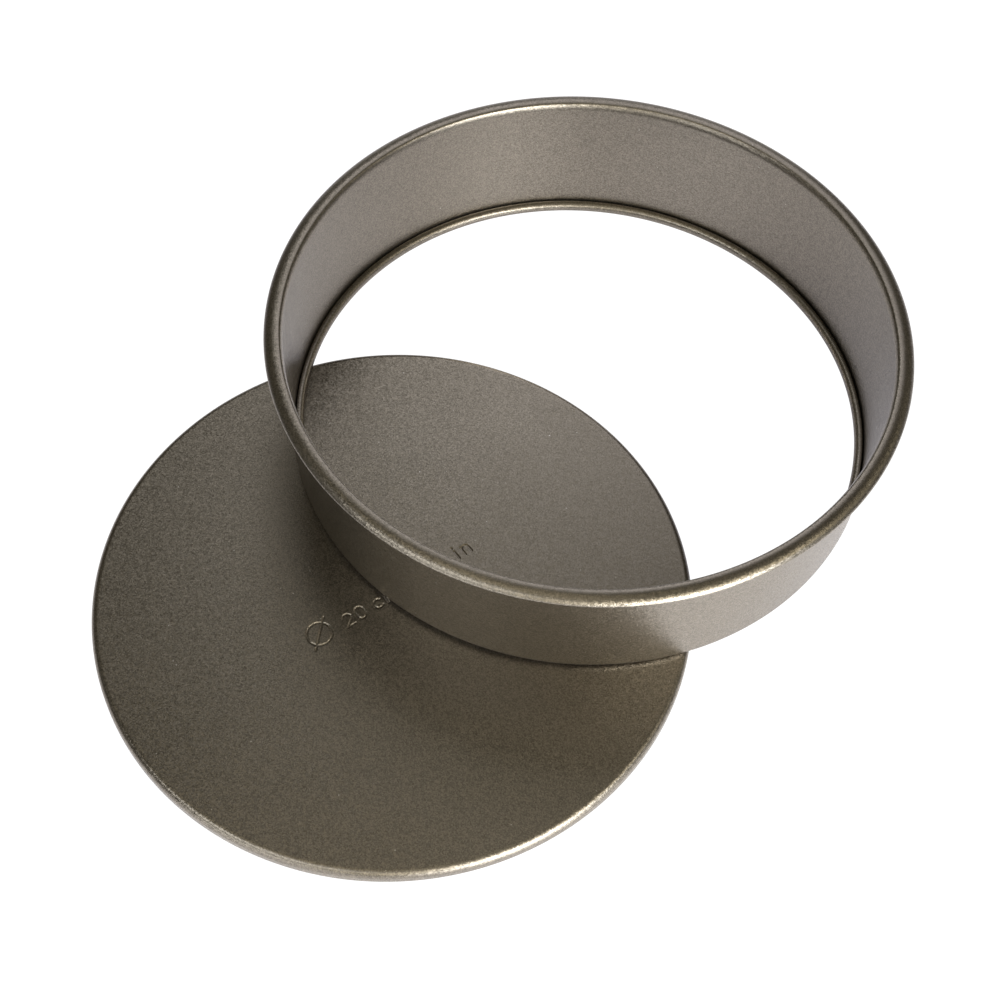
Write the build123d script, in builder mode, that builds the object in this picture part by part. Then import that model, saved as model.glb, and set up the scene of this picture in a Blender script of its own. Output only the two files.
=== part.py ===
from build123d import *
import os
from math import acos, asin, atan2, cos, degrees, radians, sin

# A loose-bottomed round cake tin, 20 cm (8 in): a side ring and a base plate, both of
# coated steel sheet. The base plate lies flat on its turned-down edge. The ring lies
# beside it, right way up, with one side of its foot on the plate and the other on the
# table, so it leans a little.
# The origin is the centre of the plate's foot, on the table. +Z is up, and +Y runs
# from the plate's centre towards the ring.

# Sheet steel, both pieces
sheet = 0.8

# Base plate: a disc with a rounded shoulder and a turned-down edge
plate_radius = 100.0
plate_height = 4.4
shoulder_radius = 2.3

# Size mark pressed into the plate: a diameter sign and "20 cm 8 in" in plain strokes.
# Its places are along the line of writing (x) and up the figures (y), from the centre.
mark_depth = 0.25
mark_turn = 77.6
stroke_width = 0.8
sign_centre = Vector(-28.6, 1.2)
sign_radius = 4.2
sign_slash = 6.4
baseline = -2.3
figure_height = 4.6
figure_round = 1.5
letter_height = 3.2
letter_round = 1.25
two_at = -19.5
nought_at = -14.7
c_at = -8.0
m_at = -3.2
eight_at = 19.2
eight_rounds = (1.3, 1.1)
i_at = 25.6
n_at = 28.2

# Side ring: a foot roll turned inwards and a rim turned outwards, joined by the wall.
# Roll sizes are radii of the outside of the sheet. The rim is a run of arcs over the top
# and down the outside, each given as its radius and the angle at which it ends.
ring_height = 51.85
foot_outer_radius = 101.2
foot_roll = 1.95
foot_roll_end = 68.0
rim_outer_radius = 108.25
rim_flare = (5.0, 149.5)
rim_fold = (1.03, 103.0)
rim_crown = (5.2, 62.0)
rim_corner = (3.67, 40.0)
rim_flank = (0.95, -30.0)
rim_curl = (1.5, -115.0)

# Where the ring lies
ring_offset = 97.1
rest_gap = 0.02

# Centres of the rim's arcs, each running on from the one before. The crown sets the
# ring's height and the flank its widest radius.
rim_rolls = (rim_flare, rim_fold, rim_crown, rim_corner, rim_flank, rim_curl)
steps = [Vector(0, 0)]
for (radius, turn), (next_radius, _) in zip(rim_rolls, rim_rolls[1:]):
    steps.append(steps[-1] + Vector(radius - next_radius, 0).rotate(Axis.Z, turn))
crown_step = steps[rim_rolls.index(rim_crown)]
flank_step = steps[rim_rolls.index(rim_flank)]
rim_shift = Vector(
    rim_outer_radius - rim_flank[0] - flank_step.X, ring_height - rim_crown[0] - crown_step.Y
)
rim_centres = [step + rim_shift for step in steps]

# Half section of the ring, x outwards from its axis and y up it, along the middle of
# the sheet. The straight wall touches the foot roll on its outer side and the rim's
# flare on its inner side.
foot_centre = Vector(foot_outer_radius - foot_roll, foot_roll)
foot_mid = foot_roll - sheet / 2
flare_mid = rim_flare[0] - sheet / 2
between = rim_centres[0] - foot_centre
wall_turn = degrees(atan2(between.Y, between.X) - acos((foot_mid + flare_mid) / between.length))
wall_normal = Vector(cos(radians(wall_turn)), sin(radians(wall_turn)))
wall_foot = foot_centre + wall_normal * foot_mid
wall_top = rim_centres[0] - wall_normal * flare_mid

# The lean. The foot's lowest circle crosses the edge of the plate's flat top at two
# points, and the ring rests on those two and on its far point, on the table.
foot_circle = foot_centre.X
flat_radius = plate_radius - shoulder_radius
crossing = (ring_offset**2 + foot_circle**2 - flat_radius**2) / (2 * ring_offset)
lean = asin((plate_height + rest_gap) / (foot_circle + crossing))
ring_rise = foot_circle * sin(lean) + foot_roll * (1 - cos(lean))
ring_origin = Vector(0, ring_offset, ring_rise)
ring_up = Vector(0, sin(lean), cos(lean))
ring_section = Plane(origin=ring_origin, x_dir=(1, 0, 0), z_dir=(0, -cos(lean), sin(lean)))


def press_arc(centre, radius, start, turn):
    """One round stroke of the mark, with round ends."""
    with BuildLine() as stroke:
        arc = CenterArc(centre, radius, start, turn)
    trace(stroke.line, line_width=stroke_width)
    with Locations(arc @ 0, arc @ 1):
        Circle(stroke_width / 2)


def press_circle(centre, radius):
    """A round stroke that closes on itself."""
    press_arc(centre, radius, 0, 180)
    press_arc(centre, radius, 180, 180)


def press_line(start, end):
    """One straight stroke of the mark, with round ends."""
    with BuildLine() as stroke:
        Line(start, end)
    trace(stroke.line, line_width=stroke_width)
    with Locations(start, end):
        Circle(stroke_width / 2)


def press_arch(x, radius):
    """The arch and right leg of an n or m that starts at x."""
    spring = baseline + letter_height - radius
    press_arc((x + radius, spring), radius, 0, 180)
    press_line((x + 2 * radius, baseline), (x + 2 * radius, spring))


with BuildPart() as base_plate:
    with BuildSketch():
        Circle(plate_radius)
    extrude(amount=plate_height)
    fillet(base_plate.edges().group_by(Axis.Z)[-1], shoulder_radius)
    offset(amount=-sheet, openings=base_plate.faces().sort_by(Axis.Z)[0])
    with BuildSketch(Plane.XY.offset(plate_height).rotated((0, 0, mark_turn))):
        # Diameter sign
        slash = Vector(sign_slash, 0).rotate(Axis.Z, 45)
        press_circle(sign_centre, sign_radius)
        press_line(sign_centre - slash, sign_centre + slash)
        # 2
        head = Vector(two_at + figure_round, baseline + figure_height - figure_round)
        neck = head + Vector(figure_round, 0).rotate(Axis.Z, -35)
        press_arc(head, figure_round, 165, -200)
        press_line(neck, (two_at, baseline))
        press_line((two_at, baseline), (two_at + 2 * figure_round, baseline))
        # 0
        low = baseline + figure_round
        high = baseline + figure_height - figure_round
        press_arc((nought_at + figure_round, high), figure_round, 0, 180)
        press_arc((nought_at + figure_round, low), figure_round, 180, 180)
        press_line((nought_at, low), (nought_at, high))
        press_line((nought_at + 2 * figure_round, low), (nought_at + 2 * figure_round, high))
        # c
        press_arc((c_at + letter_height / 2, baseline + letter_height / 2), letter_height / 2, 45, 270)
        # m
        press_line((m_at, baseline), (m_at, baseline + letter_height))
        press_arch(m_at, letter_round)
        press_arch(m_at + 2 * letter_round, letter_round)
        # 8
        lower, upper = eight_rounds
        press_circle((eight_at + lower, baseline + lower), lower)
        press_circle((eight_at + lower, baseline + figure_height - upper), upper)
        # i
        press_line((i_at, baseline), (i_at, baseline + letter_height))
        with Locations((i_at, baseline + figure_height)):
            Circle(stroke_width / 2)
        # n
        press_line((n_at, baseline), (n_at, baseline + letter_height))
        press_arch(n_at, letter_round)
    extrude(amount=-mark_depth, mode=Mode.SUBTRACT)
base_plate.part.label = "base_plate"

with BuildPart() as side_ring:
    with BuildSketch(ring_section):
        with BuildLine():
            CenterArc(foot_centre, foot_mid, foot_roll_end, 360 + wall_turn - foot_roll_end)
            Line(wall_foot, wall_top)
            start = 180 + wall_turn
            for centre, (radius, turn) in zip(rim_centres, rim_rolls):
                CenterArc(centre, radius - sheet / 2, start, turn - start)
                start = turn
        trace(line_width=sheet)
    revolve(axis=Axis(ring_origin, ring_up))
side_ring.part.label = "side_ring"

os.makedirs("parts", exist_ok=True)
export_step(base_plate.part, "parts/base_plate.step")
export_step(side_ring.part, "parts/side_ring.step")
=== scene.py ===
"""Looks of the loose-bottomed cake tin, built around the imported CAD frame. Metres, +Z up."""

from math import acos, asin, atan2, ceil, cos, degrees, hypot, pi, radians, sin

import bmesh
import bpy
import numpy as np
from mathutils import Matrix, Vector


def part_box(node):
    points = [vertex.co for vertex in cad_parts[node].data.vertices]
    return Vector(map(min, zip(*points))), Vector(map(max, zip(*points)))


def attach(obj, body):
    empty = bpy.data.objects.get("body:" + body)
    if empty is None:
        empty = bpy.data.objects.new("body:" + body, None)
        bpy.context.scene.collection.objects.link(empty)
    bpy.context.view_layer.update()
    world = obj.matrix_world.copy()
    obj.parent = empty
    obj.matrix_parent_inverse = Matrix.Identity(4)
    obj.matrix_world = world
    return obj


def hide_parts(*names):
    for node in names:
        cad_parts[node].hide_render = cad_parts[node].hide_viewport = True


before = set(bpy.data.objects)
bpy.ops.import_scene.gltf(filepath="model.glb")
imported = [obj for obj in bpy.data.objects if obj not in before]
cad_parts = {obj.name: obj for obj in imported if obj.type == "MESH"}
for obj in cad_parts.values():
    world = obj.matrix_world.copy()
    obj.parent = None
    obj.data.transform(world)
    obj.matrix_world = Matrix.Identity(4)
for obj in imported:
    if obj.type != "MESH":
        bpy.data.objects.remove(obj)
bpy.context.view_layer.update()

MM = 0.001

# Sizes of the sheet work in millimetres and degrees, as in the CAD source. Roll sizes are
# radii of the outside of the sheet. Each run of the rim is such a radius and the angle at
# which its arc ends. Cut edges are rounded.
SHEET = 0.8
CUT_ROUND = 0.12
SHOULDER = 2.3
FOOT_OUTER = 101.2
FOOT_ROLL = 1.95
FOOT_END = 68.0
RING_HEIGHT = 51.85
RING_OFFSET = 97.1
RIM_EDGE = 108.25
RIM_FLARE = (5.0, 149.5)
RIM_FOLD = (1.03, 103.0)
RIM_CROWN = (5.2, 62.0)
RIM_CORNER = (3.67, 40.0)
RIM_FLANK = (0.95, -30.0)
RIM_CURL = (1.5, -115.0)
REST_GAP = 0.02

# The pressed mark: a diameter sign and "20 cm 8 in" in plain strokes. Places are along the
# writing, from the plate's centre, and the figures and letters stand on the baseline.
MARK_DEPTH = 0.25
MARK_TURN = 77.6
SIGN = (-28.6, 1.2)
SIGN_RADIUS = 4.2
SIGN_SLASH = 6.4
SLASH_TURN = 45
BASELINE = -2.3
FIGURE = 4.6
FIGURE_ROUND = 1.5
LETTER = 3.2
LETTER_ROUND = 1.25
TWO, NOUGHT, C, M, EIGHT, I, N = -19.5, -14.7, -8.0, -3.2, 19.2, 25.6, 28.2
TWO_HOOK = (165, -35)
C_GAP = 45
EIGHT_ROUNDS = (1.3, 1.1)
DOT = 0.01

# A stroke's floor ends, and its side meets the plate, at these distances from its middle.
# The patch is the part of the plate's top that holds the mark, as a grid of cells.
GROOVE = (0.12, 0.52)
PATCH = ((-35.0, -5.0), (33.0, 8.0))
PATCH_CELL = 0.16

# Mesh fineness: sections round a turn, the longest step and the widest turn along a roll,
# where the points lie along the wall, and the width of the outermost band of the flat
AROUND = 450
ROLL_STEP = 0.2
ROLL_TURN = 12.0
WALL_SHARES = (0.008, 0.03, 0.1, 0.25, 0.5, 0.75, 0.9, 0.97, 0.992)
FLAT_BAND = 0.5


def arc(centre, radius, start, end):
    """Points along an arc given in degrees, with both its ends."""
    turn = radians(abs(end - start))
    count = max(2, ceil(turn * radius / ROLL_STEP), ceil(turn / radians(ROLL_TURN)))
    turns = [radians(start + (end - start) * i / count) for i in range(count + 1)]
    return [(centre[0] + radius * cos(t), centre[1] + radius * sin(t)) for t in turns]


def along(start, end):
    """Points between two ends, closer together near the ends."""
    return [tuple(a + (b - a) * s for a, b in zip(start, end)) for s in WALL_SHARES]


def aim(turn):
    """Unit vector at an angle in degrees."""
    return Vector((cos(radians(turn)), sin(radians(turn))))


def add_piece(name, work):
    """Turns a finished bmesh into a smooth-shaded object."""
    bmesh.ops.recalc_face_normals(work, faces=work.faces)
    for face in work.faces:
        face.smooth = True
    mesh = bpy.data.meshes.new(name)
    work.to_mesh(mesh)
    work.free()
    piece = bpy.data.objects.new(name, mesh)
    bpy.context.scene.collection.objects.link(piece)
    return piece


def spin(work, outline, closed):
    """Sweeps an outline of (radius, height) about Z and returns the points of each section."""
    sections = []
    for i in range(AROUND):
        way = aim(360 * i / AROUND)
        places = [(r * way.x * MM, r * way.y * MM, z * MM) for r, z in outline]
        sections.append([work.verts.new(place) for place in places])
    count = len(outline)
    for i, here in enumerate(sections):
        there = sections[(i + 1) % AROUND]
        for k in range(count if closed else count - 1):
            n = (k + 1) % count
            work.faces.new((here[k], there[k], there[n], here[n]))
    return sections


# Side ring: one sheet, rolled inwards at the foot and outwards at the rim. The rim is a run of
# tangent arcs, placed by the crown's height and the flank's radius.
foot = Vector((FOOT_OUTER - FOOT_ROLL, FOOT_ROLL))
RIM = (RIM_FLARE, RIM_FOLD, RIM_CROWN, RIM_CORNER, RIM_FLANK, RIM_CURL)
rim_centres = [Vector((0, 0))]
for (radius, turn), (next_radius, _) in zip(RIM, RIM[1:]):
    rim_centres.append(rim_centres[-1] + aim(turn) * (radius - next_radius))
rim_place = Vector((RIM_EDGE - RIM_FLANK[0], RING_HEIGHT - RIM_CROWN[0]))
rim_place -= Vector((rim_centres[RIM.index(RIM_FLANK)].x, rim_centres[RIM.index(RIM_CROWN)].y))
rim_centres = [centre + rim_place for centre in rim_centres]
across, rise = rim_centres[0] - foot
tangent = acos((FOOT_ROLL + RIM_FLARE[0] - SHEET) / hypot(across, rise))
wall_turn = degrees(atan2(rise, across) - tangent)


def skin(side):
    """One skin of the ring's sheet, from foot to rim: 1 outside the foot roll, -1 inside it.

    Both ends stop short of the cut by its rounding.
    """
    half = side * SHEET / 2
    foot_mid = FOOT_ROLL - SHEET / 2
    lower = arc(foot, foot_mid + half, FOOT_END + degrees(CUT_ROUND / foot_mid), 360 + wall_turn)
    upper = []
    start = 180 + wall_turn
    for centre, (radius, turn) in zip(rim_centres, RIM):
        middle = radius - SHEET / 2
        end = turn + degrees(CUT_ROUND / middle) * (turn == RIM_CURL[1])
        upper += arc(centre, middle - half, start, end)[1 if upper else 0:]
        start = turn
    return lower[1:] + along(lower[-1], upper[0]) + upper[:-1]


def cut_edge(centre, radius, turn):
    """The rounded edge where the sheet of a roll is cut, from its inner skin to its outer skin."""
    heading = turn - 90
    back = Vector(centre) + aim(turn) * (radius - SHEET / 2) - aim(heading) * CUT_ROUND
    offset = aim(turn) * (SHEET / 2 - CUT_ROUND)
    inner = arc(back - offset, CUT_ROUND, heading - 90, heading)
    return inner + arc(back + offset, CUT_ROUND, heading, heading + 90)


ring_outline = skin(1) + cut_edge(rim_centres[-1], *RIM_CURL)
ring_outline += skin(-1)[::-1] + cut_edge(foot, FOOT_ROLL, FOOT_END)
ring_work = bmesh.new()
spin(ring_work, ring_outline, closed=True)
ring = add_piece("side_ring_shell", ring_work)

plate_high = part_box("base_plate")[1]
plate_radius = plate_high.x / MM
plate_height = plate_high.z / MM

# The ring's lean, from where it rests on the plate and on the table
flat_radius = plate_radius - SHOULDER
crossing = (RING_OFFSET**2 + foot.x**2 - flat_radius**2) / (2 * RING_OFFSET)
lean = asin((plate_height + REST_GAP) / (foot.x + crossing))
ring_rise = foot.x * sin(lean) + FOOT_ROLL * (1 - cos(lean))
ring_place = Matrix.Translation((0, RING_OFFSET * MM, ring_rise * MM))
ring.data.transform(ring_place @ Matrix.Rotation(-lean, 4, "X"))
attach(ring, "ring")
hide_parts("side_ring")


def arch(x):
    """The arch and right leg of an n or m that starts at x."""
    centre = (x + LETTER_ROUND, BASELINE + LETTER - LETTER_ROUND)
    return arc(centre, LETTER_ROUND, 180, 0) + [(x + 2 * LETTER_ROUND, BASELINE)]


def upright(x):
    """The straight stroke of a letter at x."""
    return [(x, BASELINE), (x, BASELINE + LETTER)]


def mark_strokes():
    """Middle lines of the mark's strokes, along the writing (x) and up the figures (y)."""
    slash = aim(SLASH_TURN) * SIGN_SLASH
    sign = Vector(SIGN)
    top = BASELINE + FIGURE
    lower, upper = EIGHT_ROUNDS
    nought = arc((NOUGHT + FIGURE_ROUND, top - FIGURE_ROUND), FIGURE_ROUND, 0, 180)
    nought += arc((NOUGHT + FIGURE_ROUND, BASELINE + FIGURE_ROUND), FIGURE_ROUND, 180, 360)
    return [
        arc(SIGN, SIGN_RADIUS, 0, 360),
        [tuple(sign - slash), tuple(sign + slash)],
        arc((TWO + FIGURE_ROUND, top - FIGURE_ROUND), FIGURE_ROUND, *TWO_HOOK)
        + [(TWO, BASELINE), (TWO + 2 * FIGURE_ROUND, BASELINE)],
        nought + nought[:1],
        arc((C + LETTER / 2, BASELINE + LETTER / 2), LETTER / 2, C_GAP, 360 - C_GAP),
        upright(M),
        arch(M),
        arch(M + 2 * LETTER_ROUND),
        arc((EIGHT + lower, BASELINE + lower), lower, 0, 360),
        arc((EIGHT + lower, top - upper), upper, 0, 360),
        upright(I),
        [(I, top), (I, top + DOT)],
        upright(N),
        arch(N),
    ]


def stroke_distance(x, y):
    """Distance of each point to the nearest stroke."""
    nearest = np.full(x.shape, np.inf)
    for line in mark_strokes():
        for (ax, ay), (bx, by) in zip(line, line[1:]):
            dx, dy = bx - ax, by - ay
            share = np.clip(((x - ax) * dx + (y - ay) * dy) / (dx * dx + dy * dy), 0, 1)
            nearest = np.minimum(nearest, np.hypot(x - ax - share * dx, y - ay - share * dy))
    return nearest


def add_mark(work):
    """Adds the part of the plate's top that carries the mark, and returns its border."""
    (x0, y0), (x1, y1) = PATCH
    xs = np.linspace(x0, x1, round((x1 - x0) / PATCH_CELL) + 1)
    ys = np.linspace(y0, y1, round((y1 - y0) / PATCH_CELL) + 1)
    x, y = np.meshgrid(xs, ys, indexing="ij")
    fall = np.clip((GROOVE[1] - stroke_distance(x, y)) / (GROOVE[1] - GROOVE[0]), 0, 1)
    z = plate_height - MARK_DEPTH * fall * fall * (3 - 2 * fall)
    right, up = aim(MARK_TURN), aim(MARK_TURN + 90)
    wide, deep = x * right.x + y * up.x, x * right.y + y * up.y
    grid = [
        [work.verts.new((wide[i, j] * MM, deep[i, j] * MM, z[i, j] * MM)) for j in range(len(ys))]
        for i in range(len(xs))
    ]
    faces = [
        work.faces.new((grid[i][j], grid[i + 1][j], grid[i + 1][j + 1], grid[i][j + 1]))
        for i in range(len(xs) - 1)
        for j in range(len(ys) - 1)
    ]
    edges = dict.fromkeys(edge for face in faces for edge in face.edges)
    return [edge for edge in edges if len(edge.link_faces) == 1]


# Base plate: a flat disc with a rounded shoulder, turned down to a cut edge. Its top is
# filled between the outermost band of the flat and the mark's patch.
shoulder = (flat_radius, plate_height - SHOULDER)
inner_radius = plate_radius - SHEET
plate_outline = [(flat_radius - FLAT_BAND, plate_height)] + arc(shoulder, SHOULDER, 90, 0)
plate_outline += arc((plate_radius - CUT_ROUND, CUT_ROUND), CUT_ROUND, 0, -90)
plate_outline += arc((inner_radius + CUT_ROUND, CUT_ROUND), CUT_ROUND, -90, -180)
plate_outline += arc(shoulder, SHOULDER - SHEET, 0, 90)
plate_outline += [(flat_radius - FLAT_BAND, plate_height - SHEET)]
plate_work = bmesh.new()
sections = spin(plate_work, plate_outline, closed=False)
neighbours = zip(sections, sections[1:] + sections[:1])
flat_edges = [plate_work.edges.get((a[0], b[0])) for a, b in neighbours]
flat_edges += add_mark(plate_work)
bmesh.ops.triangle_fill(plate_work, use_beauty=True, use_dissolve=False, edges=flat_edges)
plate_work.faces.new([section[-1] for section in sections])
plate = add_piece("base_plate_shell", plate_work)
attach(plate, "base")
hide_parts("base_plate")

# Coating: warm grey metallic enamel. Scales are features to a metre. The peel is a slight
# waviness, each grain has its own tilt and tone, clouds change the gloss, and specks are pale.
COAT_COLOUR = (0.22, 0.2, 0.168, 1)
COAT_ROUGH = (0.31, 0.37)
PEEL_SCALE, PEEL_HEIGHT, PEEL_DETAIL, PEEL_ROUGH = 900.0, 0.00002, 1.5, 0.45
GRAIN_SCALE, GRAIN_TILT, GRAIN_TONE = 2700.0, 0.12, 0.28
CLOUD_SCALE, CLOUD_DETAIL, CLOUD_SPAN = 14.0, 3.0, (0.3, 0.7)
SPECK_SCALE, SPECK_SIZE = 150.0, 0.04
SPECK_COLOUR = (0.6, 0.58, 0.54, 1)


def node(tree, kind, inputs=(), **settings):
    """Adds a node, sets its properties, and sets or links its inputs."""
    new = tree.nodes.new("ShaderNode" + kind)
    for key, value in settings.items():
        setattr(new, key, value)
    for key, value in dict(inputs).items():
        if isinstance(value, bpy.types.NodeSocket):
            tree.links.new(value, new.inputs[key])
        else:
            new.inputs[key].default_value = value
    return new


def vector_maths(tree, operation, inputs):
    """Adds a vector maths node and returns its result."""
    return node(tree, "VectorMath", inputs, operation=operation).outputs[0]


def coating_material():
    """The one material of both pieces."""
    material = bpy.data.materials.new("coating")
    material.use_nodes = True
    tree = material.node_tree
    shader = tree.nodes["Principled BSDF"]
    place = node(tree, "TexCoord").outputs["Object"]

    peel = node(tree, "TexNoise", {"Vector": place, "Scale": PEEL_SCALE, "Detail": PEEL_DETAIL,
                                   "Roughness": PEEL_ROUGH})
    bump = node(tree, "Bump", {"Height": peel.outputs["Fac"], "Strength": 1.0,
                               "Distance": PEEL_HEIGHT})
    # Each grain's random colour, measured from mid grey, is the way that it leans
    grain = node(tree, "TexVoronoi", {"Vector": place, "Scale": GRAIN_SCALE})
    centred = vector_maths(tree, "SUBTRACT", {0: grain.outputs["Color"], 1: (0.5, 0.5, 0.5)})
    tilt = vector_maths(tree, "SCALE", {0: centred, "Scale": GRAIN_TILT})
    leant = vector_maths(tree, "ADD", {0: bump.outputs[0], 1: tilt})
    normal = vector_maths(tree, "NORMALIZE", {0: leant})
    tree.links.new(normal, shader.inputs["Normal"])

    cloud = node(tree, "TexNoise", {"Vector": place, "Scale": CLOUD_SCALE, "Detail": CLOUD_DETAIL})
    rough = node(tree, "MapRange", {"Value": cloud.outputs["Fac"],
                                    "From Min": CLOUD_SPAN[0], "From Max": CLOUD_SPAN[1],
                                    "To Min": COAT_ROUGH[0], "To Max": COAT_ROUGH[1]})
    tree.links.new(rough.outputs[0], shader.inputs["Roughness"])

    flake = node(tree, "SeparateColor", {"Color": grain.outputs["Color"]})
    tone = node(tree, "MapRange", {"Value": flake.outputs[0],
                                   "To Min": 1 - GRAIN_TONE, "To Max": 1 + GRAIN_TONE})
    toned = vector_maths(tree, "SCALE", {0: COAT_COLOUR[:3], "Scale": tone.outputs[0]})
    dots = node(tree, "TexVoronoi", {"Vector": place, "Scale": SPECK_SCALE})
    speck = node(tree, "MapRange", {"Value": dots.outputs["Distance"],
                                    "From Min": SPECK_SIZE / 2, "From Max": SPECK_SIZE,
                                    "To Min": 1.0, "To Max": 0.0})
    colour = node(tree, "Mix", {"Factor": speck.outputs[0], "A": toned, "B": SPECK_COLOUR},
                  data_type="RGBA")
    tree.links.new(colour.outputs["Result"], shader.inputs["Base Color"])
    shader.inputs["Metallic"].default_value = 1.0
    return material


coating = coating_material()
for piece in (ring, plate):
    piece.data.materials.append(coating)

# Stage: a pale, slightly glossy floor that glows a little, in a dim room. The camera sees
# both as plain white.
ROOM = 0.1
ROOM_TINT = (1.12, 1.0, 0.74, 1)
FLOOR_TONE = 0.85
FLOOR_GLOW = 0.35
FLOOR_ROUGH = 0.3
FLOOR_GLOSS = 1.0
GLOW_TINT = (0.95, 0.96, 1.22, 1)
STAGE_WHITE = 1.1
FLOOR_SIZE = 8.0


def stage_shader(tree, glow, unseen, output):
    """Shows an even white glow to the camera, and another shader to everything else."""
    white = node(tree, glow, {"Strength": STAGE_WHITE, "Color": (1, 1, 1, 1)})
    seen = node(tree, "LightPath").outputs["Is Camera Ray"]
    mix = node(tree, "MixShader", {0: seen, 1: unseen, 2: white.outputs[0]})
    tree.links.new(mix.outputs[0], output.inputs["Surface"])


bpy.ops.mesh.primitive_plane_add(size=FLOOR_SIZE)
floor = bpy.context.object
floor.name = "floor"
paper = bpy.data.materials.new("floor_paper")
paper.use_nodes = True
paper_nodes = paper.node_tree.nodes
surface = paper_nodes["Principled BSDF"]
surface.inputs["Base Color"].default_value = (FLOOR_TONE, FLOOR_TONE, FLOOR_TONE, 1)
surface.inputs["Roughness"].default_value = FLOOR_ROUGH
surface.inputs["Specular IOR Level"].default_value = FLOOR_GLOSS
surface.inputs["Emission Color"].default_value = GLOW_TINT
surface.inputs["Emission Strength"].default_value = FLOOR_GLOW
stage_shader(paper.node_tree, "Emission", surface.outputs[0], paper_nodes["Material Output"])
floor.data.materials.append(paper)

world = bpy.data.worlds.new("studio")
world.use_nodes = True
world_nodes = world.node_tree.nodes
backdrop = world_nodes["Background"]
backdrop.inputs["Color"].default_value = ROOM_TINT
backdrop.inputs["Strength"].default_value = ROOM
stage_shader(world.node_tree, "Background", backdrop.outputs[0], world_nodes["World Output"])
bpy.context.scene.world = world

# Soft boxes that face the lit point from the box distance, both in metres: azimuth,
# elevation, width and height in degrees as seen from it, radiance and tint
LIT_POINT = Vector((0, 0.05, 0))
BOX_DISTANCE = 0.9
WHITE = (1.0, 1.0, 1.0)
WARM = (1.12, 1.0, 0.74)
COOL = (1.0, 0.98, 1.06)
SOFT_BOXES = {
    "key_right": (347, 25, 34, 24, 14.2, WHITE),
    "key_right_high": (358, 46, 50, 18, 2.3, WARM),
    "key_left_low": (276, 13, 42, 14, 3.2, WHITE),
    "key_left_high": (268, 46, 40, 22, 3.0, WHITE),
    "front": (312, 32, 26, 40, 1.15, WARM),
    "back": (119, 40, 26, 30, 1.36, COOL),
    "back_high": (140, 54, 26, 26, 0.7, WHITE),
    "top": (0, 88, 30, 30, 0.42, WARM),
    "side": (45, 34, 28, 24, 0.37, WARM),
    "top_left": (265, 74, 40, 14, 0.68, WARM),
    "back_low": (130, 10, 60, 12, 0.7, WHITE),
    "key_right_low": (338, 3, 34, 16, 12.0, WHITE),
}


def add_soft_box(name, azimuth, elevation, wide, high, radiance, tint):
    """A rectangular light that faces the tin."""
    flat = aim(azimuth) * cos(radians(elevation))
    outward = Vector((flat.x, flat.y, sin(radians(elevation))))
    data = bpy.data.lights.new(name, "AREA")
    data.shape = "RECTANGLE"
    data.size = 2 * BOX_DISTANCE * sin(radians(wide) / 2)
    data.size_y = 2 * BOX_DISTANCE * sin(radians(high) / 2)
    data.energy = radiance * pi * data.size * data.size_y
    data.color = tint
    light = bpy.data.objects.new(name, data)
    light.location = LIT_POINT + outward * BOX_DISTANCE
    light.rotation_euler = outward.to_track_quat("Z", "Y").to_euler()
    light.visible_camera = False
    bpy.context.scene.collection.objects.link(light)


for name, box in SOFT_BOXES.items():
    add_soft_box(name, *box)

# Camera, fitted to the object's outlines in the photograph: its lens, its distance in
# millimetres from the target on the table, and the turns of its line of sight
FOCAL = 68.246
SENSOR = 36.0
DISTANCE = 657.7
ELEVATION = 57.34
HEADING = 129.836
ROLL = 1.524
TARGET = Vector((0.85, 53.3, 0.0))
NEAREST = 0.01


def make_camera():
    """Adds the camera and makes it the scene's."""
    flat = aim(HEADING) * cos(radians(ELEVATION))
    forward = Vector((flat.x, flat.y, -sin(radians(ELEVATION))))
    level = forward.cross(Vector((0, 0, 1))).normalized()
    upright_way = level.cross(forward)
    roll = radians(ROLL)
    right = level * cos(roll) + upright_way * sin(roll)
    up = upright_way * cos(roll) - level * sin(roll)
    data = bpy.data.cameras.new("camera")
    data.lens = FOCAL
    data.sensor_width = SENSOR
    data.clip_start = NEAREST
    camera = bpy.data.objects.new("camera", data)
    place = Matrix.Translation((TARGET - forward * DISTANCE) * MM)
    camera.matrix_world = place @ Matrix((right, up, -forward)).transposed().to_4x4()
    bpy.context.scene.collection.objects.link(camera)
    bpy.context.scene.camera = camera


make_camera()
bpy.context.scene.view_settings.view_transform = "Standard"
